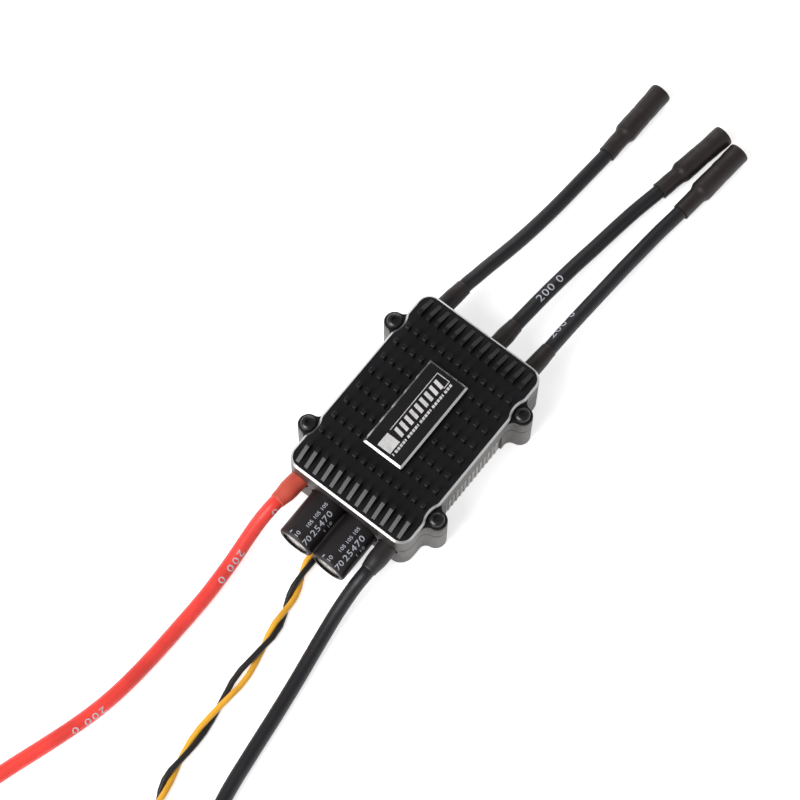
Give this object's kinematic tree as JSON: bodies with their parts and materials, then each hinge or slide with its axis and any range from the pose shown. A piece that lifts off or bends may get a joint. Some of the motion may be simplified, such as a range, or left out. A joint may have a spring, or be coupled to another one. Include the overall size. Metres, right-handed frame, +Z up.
{
  "type": "electronic speed controller",
  "caption": "Finned aluminium motor speed controller with smoothing capacitors, motor leads with bullet sockets, power leads and a signal lead with a servo plug.",
  "frame": {"origin": "centre of the base tray's underside, which the controller rests on", "axes": "+X runs along the case to the motor leads, +Y to the red power lead's side, +Z up"},
  "size_m": [0.2797, 0.0805, 0.0202],
  "materials": {
    "black_anodised": "satin black anodised cast fins with machined edges",
    "base_aluminium": "satin cast aluminium",
    "screw_steel": "black oxide",
    "circuit_board": "green solder mask",
    "chip_plastic": "matt moulded",
    "header_plastic": "matt moulded",
    "thermal_silicone": "soft matt",
    "shunt_metal": "satin",
    "capacitor_film": "shrunk film, slightly glossy",
    "capacitor_aluminium": "drawn, bright",
    "capacitor_rubber": "matt",
    "tinned_wire": "tinned",
    "brown_shrink": "heat shrink, satin",
    "black_silicone": "silicone, satin",
    "red_silicone": "silicone, glossy",
    "red_shrink": "heat shrink, satin",
    "black_shrink": "heat shrink, satin",
    "gold_plate": "gold plated, bright",
    "signal_insulation": "PVC, satin",
    "plug_plastic": "matt moulded"
  },
  "bodies": {
    "root": {"base_tray": "base_aluminium", "board_header_1": "header_plastic", "board_header_2": "header_plastic", "bullet_socket_1": "gold_plate", "bullet_socket_2": "gold_plate", "bullet_socket_3": "gold_plate", "capacitor_bung_1": "capacitor_rubber", "capacitor_bung_2": "capacitor_rubber", "capacitor_can_1": "capacitor_aluminium", "capacitor_can_2": "capacitor_aluminium", "capacitor_sleeve_1": "capacitor_film", "capacitor_sleeve_2": "capacitor_film", "capacitor_wire_1": "tinned_wire", "capacitor_wire_2": "tinned_wire", "capacitor_wire_3": "tinned_wire", "capacitor_wire_4": "tinned_wire", "case_screw_1": "screw_steel", "case_screw_2": "screw_steel", "case_screw_3": "screw_steel", "case_screw_4": "screw_steel", "control_board": "circuit_board", "current_shunt": "shunt_metal", "gate_driver_1": "chip_plastic", "gate_driver_2": "chip_plastic", "gate_driver_3": "chip_plastic", "microcontroller": "chip_plastic", "mosfet_1": "chip_plastic", "mosfet_2": "chip_plastic", "mosfet_3": "chip_plastic", "mosfet_4": "chip_plastic", "mosfet_5": "chip_plastic", "mosfet_6": "chip_plastic", "motor_lead_1": "black_silicone", "motor_lead_2": "black_silicone", "motor_lead_3": "black_silicone", "motor_sleeve_1": "brown_shrink", "motor_sleeve_2": "brown_shrink", "motor_sleeve_3": "brown_shrink", "power_board": "circuit_board", "power_lead_black": "black_silicone", "power_lead_red": "red_silicone", "power_sleeve_black": "black_shrink", "power_sleeve_red": "red_shrink", "signal_coil": "signal_insulation", "signal_lead": "signal_insulation", "signal_plug": "plug_plastic", "signal_tail": "signal_insulation", "socket_shrink_1": "brown_shrink", "socket_shrink_2": "brown_shrink", "socket_shrink_3": "brown_shrink", "thermal_pad": "thermal_silicone", "tinned_end_black": "tinned_wire", "tinned_end_red": "tinned_wire", "top_cover": "black_anodised", "voltage_regulator": "chip_plastic"}
  },
  "joints": []
}
